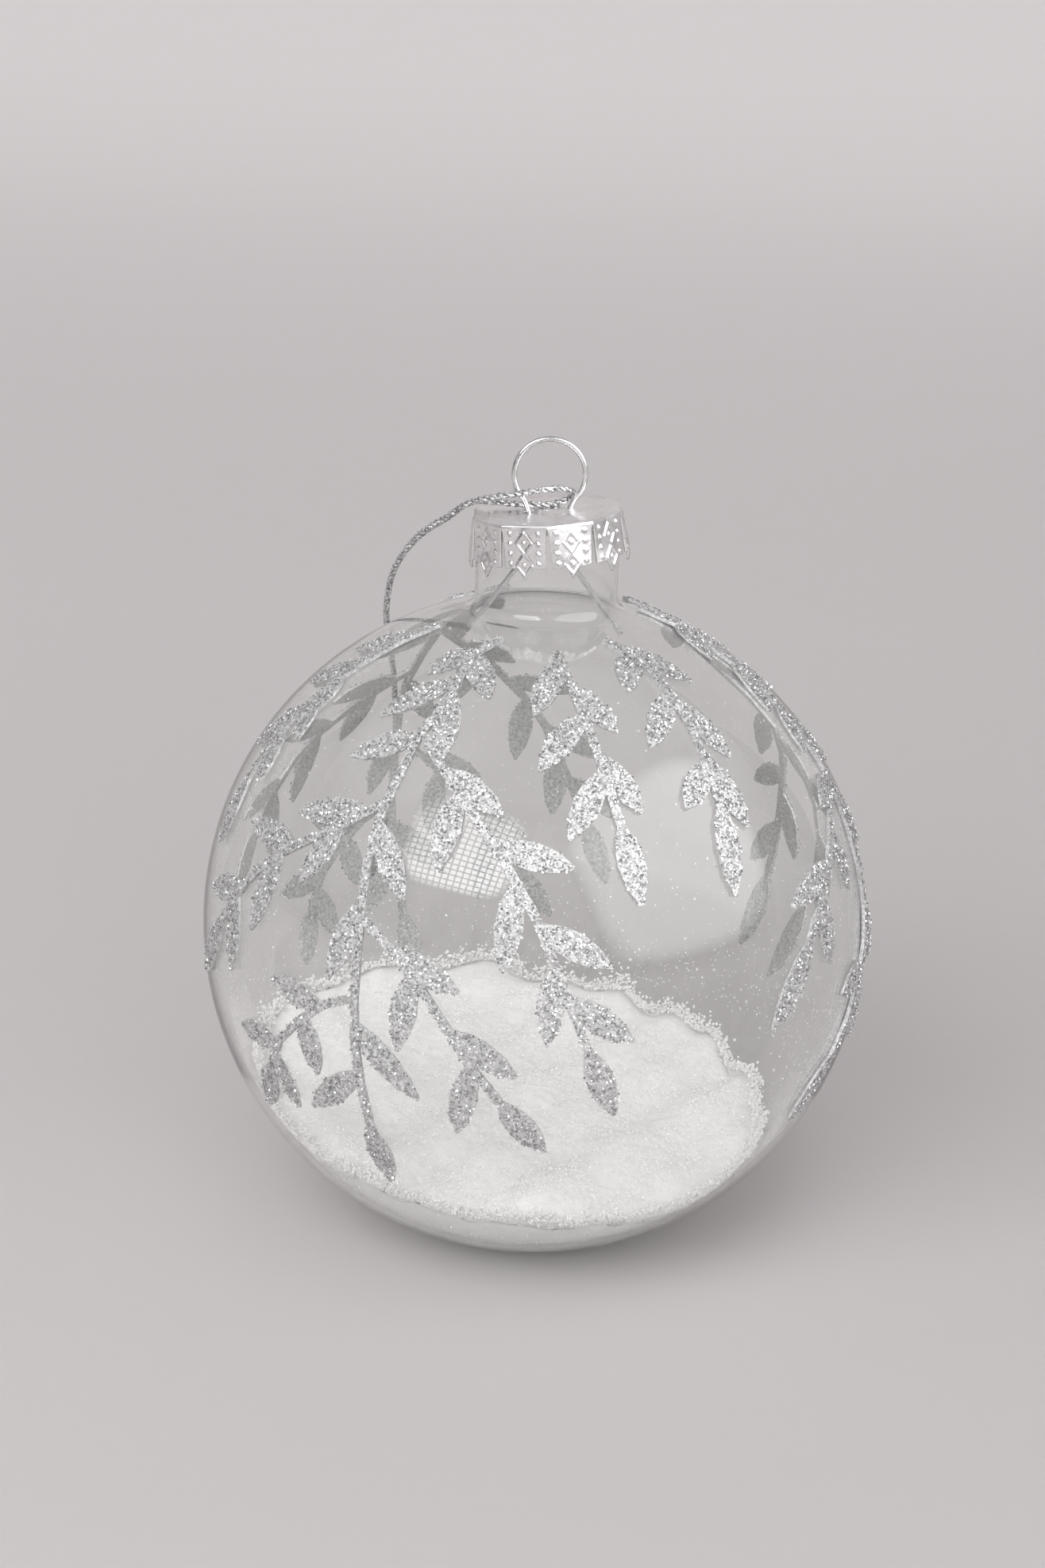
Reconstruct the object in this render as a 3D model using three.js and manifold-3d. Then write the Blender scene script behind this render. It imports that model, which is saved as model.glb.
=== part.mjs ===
// A clear glass ball ornament, part filled with artificial snow, with leafy sprays of glitter on the
// glass, a pressed metal cap, a spring wire hanger and a knotted cord. Millimetres, +Z up. The ball
// stands on its flattened underside at z = 0, and the front of the pattern faces -Y.
import * as THREE from 'three';
import { mergeVertices } from 'three/addons/utils/BufferGeometryUtils.js';
import Module from 'manifold-3d';

const wasm = await Module();
wasm.setup();

// ---------------------------------------------------------------- driving dimensions
const ballRadius = 40;
const wall = 0.8;
const footRadius = 6;
const centreHeight = Math.sqrt(ballRadius ** 2 - footRadius ** 2);

const neckRadius = 8.4;
const neckFillet = 2;
const rimHeight = centreHeight + 49.6;

const capRadius = 8.95;
const capSheet = 0.4;
const capTop = centreHeight + 50.4;
const skirtBottom = centreHeight + 45.5;
const flapPoint = 1.5;
const flapCount = 10;
const slitWidth = 0.35;

const wireRadius = 0.33;
const ringRadius = 4.15;
const ringCentre = capTop + 4.5;
const footSpread = 2.3;
const wireOffset = 0.47;
const wireHoleRadius = 0.85;
const legHinge = { x: 0.7, z: capTop - 1.35 };
const legLength = 16.2;
const legAngle = 36.5;

const snowGap = 0.35;
const snowLevel = -23;

const leafLayer = { inner: ballRadius + 0.18, outer: ballRadius + 0.46 };
const stemLayer = { inner: ballRadius + 0.14, outer: ballRadius + 0.56 };
const stemWidth = 1;
const leafLength = 9;
const leafWidth = 3.2;
const patternLean = -1.9;

const cordRadius = 0.4;
const knotRadius = 1.7;

// ---------------------------------------------------------------- materials
const material = (color, roughness, metalness = 0, opacity = 1) => new THREE.MeshStandardMaterial({
  color, roughness, metalness, opacity, transparent: opacity < 1,
});
const glass = material(0xe6efec, 0.05, 0, 0.3);
const snow = material(0xf4f2ef, 0.95);
const glitter = material(0xc9c9cc, 0.35, 0.8);
const capMetal = material(0xd5d3d4, 0.25, 0.95);
const wireMetal = material(0xdcdcdc, 0.18, 1);
const thread = material(0xb4b2b4, 0.5, 0.5);

// ---------------------------------------------------------------- helpers
const part = new THREE.Group();
const point = (x, y, z) => new THREE.Vector3(x, y, z);
const degrees = THREE.MathUtils.degToRad;

function addPiece(name, geometry, look) {
  const mesh = new THREE.Mesh(geometry, look);
  mesh.name = name;
  part.add(mesh);
  return mesh;
}

// The same shape as a manifold solid, for cutting and joining.
function solid(geometry) {
  const bare = geometry.clone();
  bare.deleteAttribute('normal');
  bare.deleteAttribute('uv');
  const merged = mergeVertices(bare, 1e-4);
  return new wasm.Manifold(new wasm.Mesh({
    numProp: 3,
    vertProperties: new Float32Array(merged.attributes.position.array),
    triVerts: new Uint32Array(merged.index.array),
  }));
}

function geometryOf(manifold) {
  const mesh = manifold.getMesh();
  const geometry = new THREE.BufferGeometry();
  geometry.setAttribute('position', new THREE.BufferAttribute(new Float32Array(mesh.vertProperties), 3));
  geometry.setIndex(new THREE.BufferAttribute(new Uint32Array(mesh.triVerts), 1));
  geometry.computeVertexNormals();
  return geometry;
}

// A body of revolution about Z from [radius, height] points that start and end on the axis, or close.
function revolve(profile, segments) {
  const geometry = new THREE.LatheGeometry(profile.map(([r, z]) => new THREE.Vector2(r, z)), segments);
  return geometry.rotateX(Math.PI / 2);
}

// Points on an arc in the profile plane, from one angle to another in degrees.
function arc(centre, radius, from, to, steps) {
  return Array.from({ length: steps + 1 }, (_, i) => {
    const angle = degrees(from + ((to - from) * i) / steps);
    return [centre[0] + radius * Math.cos(angle), centre[1] + radius * Math.sin(angle)];
  });
}

function roundSection(radius, sides = 8) {
  const section = new THREE.Shape();
  for (let i = 0; i < sides; i += 1) {
    const angle = (2 * Math.PI * i) / sides;
    section[i === 0 ? 'moveTo' : 'lineTo'](radius * Math.cos(angle), radius * Math.sin(angle));
  }
  section.closePath();
  return section;
}

function tube(curve, radius, steps) {
  return new THREE.ExtrudeGeometry(roundSection(radius), { steps, extrudePath: curve, bevelEnabled: false });
}

// ---------------------------------------------------------------- glass ball
// One wall all round: the shoulder fillets inside and outside share a centre, which lies
// where a circle of the fillet's radius touches both the ball and the neck.
function glassBall() {
  const filletX = neckRadius + neckFillet;
  const filletZ = Math.sqrt((ballRadius + neckFillet) ** 2 - filletX ** 2);
  const shoulder = THREE.MathUtils.radToDeg(Math.atan2(filletZ, filletX));
  const foot = THREE.MathUtils.radToDeg(Math.asin(centreHeight / ballRadius));
  const innerRadius = ballRadius - wall;
  const innerFoot = THREE.MathUtils.radToDeg(Math.asin((centreHeight - wall) / innerRadius));
  const centre = [0, centreHeight];
  const fillet = [filletX, filletZ + centreHeight];
  const profile = [
    [0, 0],
    ...arc(centre, ballRadius, -foot, shoulder, 18),
    ...arc(fillet, neckFillet, shoulder + 180, 180, 3).slice(1),
    [neckRadius, rimHeight],
    [neckRadius - wall, rimHeight],
    ...arc(fillet, neckFillet + wall, 180, shoulder + 180, 3),
    ...arc(centre, innerRadius, shoulder, -innerFoot, 16).slice(1),
    [0, wall],
  ];
  return revolve(profile, 44);
}
addPiece('glass_ball', glassBall(), glass);

// ---------------------------------------------------------------- snow
// The flakes fill the foot of the ball and lie a little higher at the back and on the left.
const snowSurface = (x, y) => snowLevel - 0.11 * x + 0.08 * y
  + 0.7 * Math.sin(0.31 * x + 0.8) * Math.cos(0.27 * y)
  + 0.4 * Math.sin(0.62 * x - 0.47 * y + 1.9);

function snowFill() {
  const radius = ballRadius - wall - snowGap;
  const floor = wall + snowGap - centreHeight;
  const segments = 32;
  const topRings = 6;
  const sideRings = 4;
  const ballHeight = (r) => -Math.sqrt(Math.max(radius ** 2 - r ** 2, 0));
  const rings = topRings + sideRings;
  const profile = Array.from({ length: rings + 1 }, (_, ring) => [ring % rings, -ring]).reverse();
  const geometry = revolve(profile, segments);
  const position = geometry.attributes.position;
  for (let i = 0; i < position.count; i += 1) {
    const angle = Math.atan2(position.getY(i), position.getX(i));
    const ring = Math.round(-position.getZ(i));
    const [cos, sin] = [Math.cos(angle), Math.sin(angle)];
    let rim = radius * 0.8;
    for (let k = 0; k < 30; k += 1) {
      rim = Math.sqrt(radius ** 2 - snowSurface(rim * cos, rim * sin) ** 2);
    }
    let r = (rim * ring) / topRings;
    let z = snowSurface(r * cos, r * sin);
    if (ring > topRings) {
      const share = (ring - topRings) / sideRings;
      r = rim * Math.cos((Math.PI / 2) * share);
      z = Math.max(ballHeight(r), floor);
    }
    if (ring % rings === 0) r = 0;
    position.setXYZ(i, r * cos, r * sin, centreHeight + z);
  }
  geometry.computeVertexNormals();
  return geometry;
}
addPiece('snow_fill', snowFill(), snow);

// ---------------------------------------------------------------- glitter sprays
// A place on the ball is [azimuth, latitude] in degrees, azimuth 0 facing -Y and positive towards +X.
// The whole pattern leans a little to the left on the ball.
function onBall([azimuth, latitude]) {
  const [a, b] = [degrees(azimuth), degrees(latitude)];
  const place = point(Math.cos(b) * Math.sin(a), -Math.cos(b) * Math.cos(a), Math.sin(b));
  return place.applyAxisAngle(point(0, 1, 0), degrees(patternLean));
}

// A raised ribbon on the glass along unit directions, with its half width at each of them.
function ribbon(directions, halfWidths, { inner, outer }) {
  const corners = [];
  directions.forEach((direction, i) => {
    const ahead = directions[Math.min(i + 1, directions.length - 1)];
    const behind = directions[Math.max(i - 1, 0)];
    const side = direction.clone().cross(ahead.clone().sub(behind)).normalize();
    for (const [across, radius] of [[-1, inner], [1, inner], [1, outer], [-1, outer]]) {
      const corner = direction.clone().multiplyScalar(ballRadius).addScaledVector(side, across * halfWidths[i]);
      corner.setLength(radius);
      corners.push(corner.x, corner.y, corner.z + centreHeight);
    }
  });
  const faces = [0, 2, 1, 0, 3, 2];
  for (let i = 0; i < directions.length - 1; i += 1) {
    for (let k = 0; k < 4; k += 1) {
      const [a, b] = [4 * i + k, 4 * i + ((k + 1) % 4)];
      faces.push(a, b, b + 4, a, b + 4, a + 4);
    }
  }
  const last = 4 * (directions.length - 1);
  faces.push(last, last + 1, last + 2, last, last + 2, last + 3);
  const geometry = new THREE.BufferGeometry();
  geometry.setAttribute('position', new THREE.Float32BufferAttribute(corners, 3));
  geometry.setIndex(faces);
  return solid(geometry);
}

// A lens-shaped leaf that leaves a place on the ball in a heading, both unit vectors.
const leafOutline = [[0, 0.25], [0.25, 0.85], [0.5, 1], [0.78, 0.72], [1, 0.1]];
function leaf(start, heading, length, width) {
  const directions = leafOutline.map(([share]) => {
    const turn = (share * length) / ballRadius;
    return start.clone().multiplyScalar(Math.cos(turn)).addScaledVector(heading, Math.sin(turn));
  });
  return ribbon(directions, leafOutline.map(([, share]) => (share * width) / 2), leafLayer);
}

// A stem through places on the ball, with leaves along it and one at its end. Each leaf is
// [distance along the stem, turn from the stem's heading in degrees, length], turns positive
// towards +azimuth on a stem that runs down the ball.
function branch(places, leaves, endLeaf = leafLength) {
  const curve = new THREE.CatmullRomCurve3(places.map(onBall), false, 'centripetal');
  const length = curve.getLength() * ballRadius;
  const stations = Math.max(2, Math.round(length / 5));
  const stem = curve.getSpacedPoints(stations).map((place) => place.normalize());
  const grow = (distance, turn, size, width) => {
    const share = Math.min(distance / length, 1);
    const start = curve.getPointAt(share).normalize();
    const heading = curve.getTangentAt(share).projectOnPlane(start).normalize();
    return leaf(start, heading.applyAxisAngle(start, degrees(turn)), size, width);
  };
  const pieces = leaves.map(([distance, turn, size = leafLength]) => grow(distance, turn, size, leafWidth));
  if (endLeaf > 0) pieces.push(grow(length, 0, endLeaf, leafWidth));
  pieces.push(ribbon(stem, stem.map(() => stemWidth / 2), stemLayer));
  return pieces;
}

function spray(...branches) {
  return geometryOf(wasm.Manifold.union(branches.flat()));
}

const mirrored = (places, turn) => places.map(([azimuth, latitude]) => [turn - azimuth, latitude]);
const mirroredLeaves = (leaves) => leaves.map(([distance, turn, ...size]) => [distance, -turn, ...size]);

// The large spray has one trunk that forks into a right and a left bough; the left bough carries
// three side branches. It is repeated, mirrored, on the back of the ball.
const largeSpray = [
  {
    places: [[-17, 72], [-26, 68], [-24, 61], [-27, 50], [-29, 46]],
    leaves: [[3.6, -28, 6], [4, 40, 8.4], [8.7, -50, 10], [10.8, 22], [17.5, -48, 8.5]],
    end: 0,
  },
  {
    places: [[-27, 49], [-18, 42], [-11, 36], [-5, 29], [0, 22], [3, 15], [6, 7], [9, -1]],
    leaves: [[5.5, 21], [9, -50], [16.5, 44], [21, -42, 10], [26.5, 39], [31, -26], [35, 34]],
    end: 9,
  },
  {
    places: [[-28, 48], [-29, 39], [-30, 31], [-29, 15], [-29, -1], [-28, -17]],
    leaves: [[10.5, 39, 9.5], [19.5, -25, 9.5], [33, 42, 11], [39, -53, 10]],
    end: 9.5,
  },
  {
    places: [[-30, 36], [-38, 31], [-47, 26], [-55, 20], [-61, 13], [-64, 9]],
    leaves: [[2, -30, 10], [5.5, 28, 8], [12.5, -41, 9.5], [14.5, 38, 10], [22.5, -35], [24, 40, 9]],
    end: 10.5,
  },
  {
    places: [[-29, 18], [-21, 12], [-15, 5], [-10, -3], [-5, -10]],
    leaves: [[5, 14], [8.5, -52], [16, 25], [20.5, -46]],
    end: 8.5,
  },
  {
    places: [[-29, 5], [-36, 2], [-42, -3], [-47, -8], [-49, -12]],
    leaves: [[5, -40, 8], [8, 60, 7], [14.5, -45, 7.5], [16, 50, 7.5]],
    end: 7.5,
  },
];
const grown = ({ places, leaves, end }) => branch(places, leaves, end);
const grownBack = ({ places, leaves, end }) => branch(mirrored(places, 180), mirroredLeaves(leaves), end);

addPiece('glitter_spray_front_left', spray(...largeSpray.map(grown)), glitter);
addPiece('glitter_spray_back', spray(...largeSpray.map(grownBack)), glitter);

addPiece('glitter_spray_front', spray(branch(
  [[10, 68], [13, 57], [15, 47], [16, 40], [17, 34]],
  [[1.5, -35], [6, 25, 7.5], [10, -50], [15.5, 22, 8], [17.5, -40]],
)), glitter);

addPiece('glitter_spray_front_right', spray(branch(
  [[36, 70], [43, 62], [42, 53], [41, 44], [39, 35]],
  [[2, 15], [3, -56, 7], [10.5, -44], [11.5, 23], [19.5, 20], [20, -42, 7]],
  10.5,
)), glitter);

addPiece('glitter_spray_right', spray(
  branch(
    [[100, 72], [92, 66], [86, 58], [83, 50], [82, 42], [81, 33], [79, 26], [78, 19]],
    [[3, 25], [5, -30, 7.5], [11, 30, 8], [13, -25, 8], [20, -30, 7], [22, 28, 8], [30, -62, 7.5], [32, 35, 8]],
    0,
  ),
  branch([[80, 30], [70, 25], [64, 20], [57, 15], [52, 9]], [[9, 49, 7], [13, -24, 10], [18, 48, 8]], 11),
  branch([[78, 21], [77, 12], [76, 4], [72, -2], [68, -9], [63, -15]], [[10, 35, 8], [16.5, -43, 7], [18, 35, 8]]),
), glitter);

addPiece('glitter_spray_left', spray(branch(
  [[-62, 72], [-66, 65], [-69, 57], [-72, 48], [-74, 39], [-74, 32]],
  [[3.5, -40, 8], [10, -43], [12.5, 29, 6], [16, 48, 7], [18.5, -28], [21.5, 38, 7.5]],
)), glitter);

addPiece('glitter_spray_back_right', spray(
  branch(
    [[134, 68], [133, 50], [131, 41], [123, 31], [121, 26], [124, 19], [128, 7], [131, -5]],
    [[6, -30, 8], [9, 35, 8], [15, -42, 8], [27, 58], [31, -38, 8], [37, 44, 7], [41, -30], [46, 24, 8]],
    10.5,
  ),
  branch([[121, 26], [115, 17], [115, 5], [119, -7]], [[6, -32, 8], [14, -28, 8]], 12),
), glitter);

// ---------------------------------------------------------------- cap
// A flat top and a skirt of flaps, parted by slits, each flap ending in a small point.
function cap() {
  const perFlap = 4;
  const segments = flapCount * perFlap;
  const profile = [
    [0, capTop],
    [capRadius - 0.15, capTop],
    [capRadius, capTop - 0.15],
    [capRadius, skirtBottom],
    [capRadius - capSheet, skirtBottom],
    [capRadius - capSheet, capTop - capSheet],
    [0, capTop - capSheet],
  ].reverse();
  const geometry = revolve(profile, segments);
  const position = geometry.attributes.position;
  for (let i = 0; i < position.count; i += 1) {
    if (position.getZ(i) < skirtBottom + 0.01) {
      const angle = Math.atan2(position.getY(i), position.getX(i));
      const share = ((angle / (2 * Math.PI)) * flapCount + flapCount + 0.5) % 1;
      const point = Math.max(0, 1 - Math.abs(share - 0.5) * 6);
      position.setZ(i, skirtBottom - flapPoint * point);
    }
  }
  const slits = Array.from({ length: flapCount }, (_, i) => {
    const height = capTop - 1.1 - (skirtBottom - 2);
    const slit = new THREE.BoxGeometry(3, slitWidth, height);
    slit.translate(capRadius, 0, skirtBottom - 2 + height / 2);
    return solid(slit.rotateZ((2 * Math.PI * (i + 0.5)) / flapCount));
  });
  const holes = [-1, 1].map((side) => {
    const hole = new THREE.CylinderGeometry(wireHoleRadius, wireHoleRadius, 4, 16);
    hole.rotateX(Math.PI / 2);
    return solid(hole.translate(side * (footSpread - 0.1), side * wireOffset, capTop));
  });
  return geometryOf(solid(geometry).subtract(wasm.Manifold.union([...slits, ...holes])));
}
addPiece('cap', cap(), capMetal);

// ---------------------------------------------------------------- hanger wire
// The wire is a ring above the cap, pinched so that its ends cross below the cap's top.
function hangerRing() {
  const openAngle = 46;
  const start = -openAngle;
  const sweep = 180 + 2 * openAngle;
  const turns = 12;
  const points = [];
  const end = (side) => [
    point(side * (legHinge.x + 0.8), side * wireOffset, legHinge.z + 0.15),
    point(side * (footSpread - 0.2), side * wireOffset, capTop - 0.4),
    point(side * footSpread, side * wireOffset, capTop + 0.2),
  ];
  points.push(...end(1));
  for (let i = 0; i <= turns; i += 1) {
    const angle = degrees(start + (sweep * i) / turns);
    const lean = wireOffset * (1 - (2 * i) / turns);
    points.push(point(ringRadius * Math.cos(angle), lean, ringCentre + ringRadius * Math.sin(angle)));
  }
  points.push(...end(-1).reverse());
  return tube(new THREE.CatmullRomCurve3(points, false, 'centripetal'), wireRadius, 34);
}
addPiece('hanger_ring', hangerRing(), wireMetal);

// Each leg starts under the cap on one side and springs out to the other.
function hangerLeg(side) {
  const leg = new THREE.CylinderGeometry(wireRadius, wireRadius, legLength, 8);
  leg.rotateX(Math.PI / 2).translate(0, 0, -legLength / 2);
  leg.rotateY(-side * degrees(legAngle));
  return leg.translate(-side * legHinge.x, -side * wireOffset, legHinge.z);
}
addPiece('hanger_leg_left', hangerLeg(-1), wireMetal);
addPiece('hanger_leg_right', hangerLeg(1), wireMetal);

// ---------------------------------------------------------------- cord
// A loop of thread: up the back of the ball from the knot, over the shoulder, through the ring from
// the front, round behind its left side and back down beside itself to the knot.
const cordPoints = [
  [-24.3, 37, 17.4],
  [-24, 36.9, 22],
  [-23, 36.9, 28],
  [-21.4, 36.8, 34],
  [-20, 36.6, 40],
  [-19.3, 35.4, 50],
  [-19.4, 31.4, 59.5],
  [-19.7, 25.7, 67],
  [-19.8, 21, 71.9],
  [-19.5, 18.4, 75],
  [-18.8, 15.2, 78.4],
  [-17.3, 11.8, 81.8],
  [-15.1, 8.4, 85.1],
  [-12, 4.9, 87.9],
  [-9.5, 2, 90.2],
  [-7, 0.2, 91.4],
  [-4.6, -1.1, 92.1],
  [-2.3, -1.6, 92.6],
  [0, -1.1, 92.9],
  [1.7, 0, 92.7],
  [2.7, 1.2, 92.1],
  [2.3, 2.1, 91.2],
  [0.6, 1.7, 90.6],
  [-1.6, 1.3, 90.5],
  [-4.2, 1.4, 90.5],
  [-6.7, 2.2, 90.5],
  [-9, 3.6, 90.1],
  [-12.2, 6.5, 87.3],
  [-15.2, 10, 84.5],
  [-17.5, 13.4, 81.2],
  [-18.9, 16.8, 77.8],
  [-19.6, 20, 74.4],
  [-19.9, 22.6, 71.3],
  [-19.8, 27.5, 66.3],
  [-19.5, 33, 59.1],
  [-19.4, 36.8, 49.8],
  [-20.1, 38, 39.9],
  [-21.5, 38.2, 34],
  [-23.1, 38.3, 28],
  [-24.1, 38.3, 22],
  [-24.4, 38.4, 17.4],
];
function cord() {
  const curve = new THREE.CatmullRomCurve3(cordPoints.map((place) => point(...place)), false, 'centripetal');
  curve.arcLengthDivisions = 600;
  return tube(curve, cordRadius, 74);
}
addPiece('cord', cord(), thread);

// The knot pulls both ends of the thread together and lets two short tails hang.
function cordKnot() {
  const knot = new THREE.SphereGeometry(knotRadius, 12, 8);
  knot.scale(0.95, 0.85, 1.1);
  const [first, last] = [cordPoints[0], cordPoints[cordPoints.length - 1]];
  const gap = 0.5;
  return knot.translate((first[0] + last[0]) / 2, (first[1] + last[1]) / 2, first[2] - knotRadius * 1.1 - gap);
}
addPiece('cord_knot', cordKnot(), thread);

export default part;
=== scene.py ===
# Looks for the glass ball ornament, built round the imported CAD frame. Metres, +Z up, front faces -Y.
import math
import random

import bmesh
import bpy
from mathutils import Matrix, Vector, noise


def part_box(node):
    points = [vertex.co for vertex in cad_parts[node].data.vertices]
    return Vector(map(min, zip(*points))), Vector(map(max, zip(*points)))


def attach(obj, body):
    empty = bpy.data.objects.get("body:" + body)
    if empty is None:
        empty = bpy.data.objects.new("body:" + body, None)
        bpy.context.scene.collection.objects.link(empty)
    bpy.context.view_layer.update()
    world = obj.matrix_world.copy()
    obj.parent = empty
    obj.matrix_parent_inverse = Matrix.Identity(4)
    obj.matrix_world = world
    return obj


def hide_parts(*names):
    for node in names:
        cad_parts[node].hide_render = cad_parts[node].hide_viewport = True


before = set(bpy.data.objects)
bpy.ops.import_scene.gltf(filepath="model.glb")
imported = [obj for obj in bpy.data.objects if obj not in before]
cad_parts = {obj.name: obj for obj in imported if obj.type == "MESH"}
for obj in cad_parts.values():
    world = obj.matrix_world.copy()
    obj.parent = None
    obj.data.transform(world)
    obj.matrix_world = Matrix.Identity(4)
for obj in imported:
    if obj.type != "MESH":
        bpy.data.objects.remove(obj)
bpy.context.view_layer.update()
MM = 0.001

# ---------------------------------------------------------------- sizes the looks share
BALL_R = 40 * MM
WALL = 0.8 * MM
NECK_WALL = 0.35 * MM
FOOT_R = 6 * MM
NECK_R = 8.4 * MM
FILLET_R = 2 * MM
CENTRE = Vector((0, 0, math.sqrt(BALL_R**2 - FOOT_R**2)))
RIM_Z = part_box("glass_ball")[1][2]
CAP_LOW, CAP_HIGH = (Vector(corner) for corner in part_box("cap"))
WIRE_R = 0.33 * MM

# ---------------------------------------------------------------- camera and cord first
CAMERA_DISTANCE = 380 * MM
CAMERA_ELEVATION = math.radians(20)
CAMERA_ROLL = math.radians(1.9)


def add_camera():
    """A long lens a little above the ball, aimed above its centre so that it stands low in the frame."""
    data = bpy.data.cameras.new("camera")
    data.sensor_width = 36
    data.lens = 71.9
    data.clip_end = 20
    camera = bpy.data.objects.new("camera", data)
    bpy.context.collection.objects.link(camera)
    toward = Vector((0, -math.cos(CAMERA_ELEVATION), math.sin(CAMERA_ELEVATION)))
    camera.location = CENTRE + CAMERA_DISTANCE * toward
    up = Vector((0, math.sin(CAMERA_ELEVATION), math.cos(CAMERA_ELEVATION)))
    aim = CENTRE + 16.4 * MM * up - Vector((1.5 * MM, 0, 0))
    level = (aim - camera.location).to_track_quat("-Z", "Y").to_matrix()
    camera.rotation_euler = (Matrix.Rotation(CAMERA_ROLL, 3, toward) @ level).to_euler()
    bpy.context.scene.camera = camera


add_camera()

# The cord's route from the knot, over the shoulder, through the ring and back beside itself.
CORD_POINTS = [
    (-24.3, 37, 17.4),
    (-24, 36.9, 22),
    (-23, 36.9, 28),
    (-21.4, 36.8, 34),
    (-20, 36.6, 40),
    (-19.3, 35.4, 50),
    (-19.4, 31.4, 59.5),
    (-19.7, 25.7, 67),
    (-19.8, 21, 71.9),
    (-19.5, 18.4, 75),
    (-18.8, 15.2, 78.4),
    (-17.3, 11.8, 81.8),
    (-15.1, 8.4, 85.1),
    (-12, 4.9, 87.9),
    (-9.5, 2, 90.2),
    (-7, 0.2, 91.4),
    (-4.6, -1.1, 92.1),
    (-2.3, -1.6, 92.6),
    (0, -1.1, 92.9),
    (1.7, 0, 92.7),
    (2.7, 1.2, 92.1),
    (2.3, 2.1, 91.2),
    (0.6, 1.7, 90.6),
    (-1.6, 1.3, 90.5),
    (-4.2, 1.4, 90.5),
    (-6.7, 2.2, 90.5),
    (-9, 3.6, 90.1),
    (-12.2, 6.5, 87.3),
    (-15.2, 10, 84.5),
    (-17.5, 13.4, 81.2),
    (-18.9, 16.8, 77.8),
    (-19.6, 20, 74.4),
    (-19.9, 22.6, 71.3),
    (-19.8, 27.5, 66.3),
    (-19.5, 33, 59.1),
    (-19.4, 36.8, 49.8),
    (-20.1, 38, 39.9),
    (-21.5, 38.2, 34),
    (-23.1, 38.3, 28),
    (-24.1, 38.3, 22),
    (-24.4, 38.4, 17.4),
]


# ---------------------------------------------------------------- mesh helpers
def mesh_object(name, verts, faces, smooth=True):
    mesh = bpy.data.meshes.new(name)
    mesh.from_pydata([tuple(v) for v in verts], [], faces)
    mesh.validate()
    obj = bpy.data.objects.new(name, mesh)
    bpy.context.collection.objects.link(obj)
    mesh.polygons.foreach_set("use_smooth", [smooth] * len(mesh.polygons))
    return obj


def fix_normals(obj):
    work = bmesh.new()
    work.from_mesh(obj.data)
    bmesh.ops.recalc_face_normals(work, faces=work.faces)
    work.to_mesh(obj.data)
    work.free()


def spline(points, per_span):
    """Points along a centripetal Catmull-Rom curve through the given ones."""
    ends = [2 * points[0] - points[1], *points, 2 * points[-1] - points[-2]]
    found = []
    for a, b, c, d in zip(ends, ends[1:], ends[2:], ends[3:]):
        t1 = math.sqrt((b - a).length)
        t2 = t1 + math.sqrt((c - b).length)
        t3 = t2 + math.sqrt((d - c).length)
        for i in range(per_span):
            t = t1 + (t2 - t1) * i / per_span
            p = a.lerp(b, t / t1)
            q = b.lerp(c, (t - t1) / (t2 - t1))
            r = c.lerp(d, (t - t2) / (t3 - t2))
            found.append(p.lerp(q, t / t2).lerp(q.lerp(r, (t - t1) / (t3 - t1)), (t - t1) / (t2 - t1)))
    return [*found, points[-1].copy()]


def evenly(points, step):
    """The same line with points at equal steps."""
    lengths = [0.0]
    for a, b in zip(points, points[1:]):
        lengths.append(lengths[-1] + (b - a).length)
    count = max(2, round(lengths[-1] / step))
    found, k = [], 0
    for i in range(count + 1):
        at = lengths[-1] * i / count
        while k < len(points) - 2 and lengths[k + 1] < at:
            k += 1
        share = (at - lengths[k]) / max(lengths[k + 1] - lengths[k], 1e-12)
        found.append(points[k].lerp(points[k + 1], share))
    return found


def frames_along(path):
    """(point, side, up) at each point, turned as little as possible from one to the next."""
    tangent = (path[1] - path[0]).normalized()
    side = tangent.orthogonal().normalized()
    found = []
    for i, here in enumerate(path):
        ahead = path[min(i + 1, len(path) - 1)] - path[max(i - 1, 0)]
        ahead.normalize()
        side = tangent.rotation_difference(ahead) @ side
        side = (side - ahead * side.dot(ahead)).normalized()
        tangent = ahead
        found.append((here, side, ahead.cross(side)))
    return found


def tube_mesh(path, radius, sides=16):
    """Vertices and faces of a round tube with closed ends."""
    verts, faces = [], []
    for here, side, up in frames_along(path):
        for k in range(sides):
            turn = 2 * math.pi * k / sides
            verts.append(here + radius * (math.cos(turn) * side + math.sin(turn) * up))
    for i in range(len(path) - 1):
        for k in range(sides):
            a, b = i * sides + k, i * sides + (k + 1) % sides
            faces.append((a, b, b + sides, a + sides))
    faces.append(tuple(range(sides))[::-1])
    faces.append(tuple(range((len(path) - 1) * sides, len(path) * sides)))
    return verts, faces


def joined(parts):
    """One vertex and face list out of several."""
    verts, faces = [], []
    for part_verts, part_faces in parts:
        start = len(verts)
        verts.extend(part_verts)
        faces.extend(tuple(start + i for i in face) for face in part_faces)
    return verts, faces


def revolve(profile, segments):
    """A closed skin from (radius, height) points that start and end on the axis."""
    verts = [Vector((0, 0, profile[0][1]))]
    for r, z in profile[1:-1]:
        for k in range(segments):
            turn = 2 * math.pi * k / segments
            verts.append(Vector((r * math.cos(turn), r * math.sin(turn), z)))
    verts.append(Vector((0, 0, profile[-1][1])))
    rows = len(profile) - 2
    faces = []
    for k in range(segments):
        ahead = (k + 1) % segments
        faces.append((0, 1 + ahead, 1 + k))
        for i in range(rows - 1):
            a, b = 1 + i * segments + k, 1 + i * segments + ahead
            faces.append((a, b, b + segments, a + segments))
        last = 1 + (rows - 1) * segments
        faces.append((last + k, last + ahead, len(verts) - 1))
    return verts, faces


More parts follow.
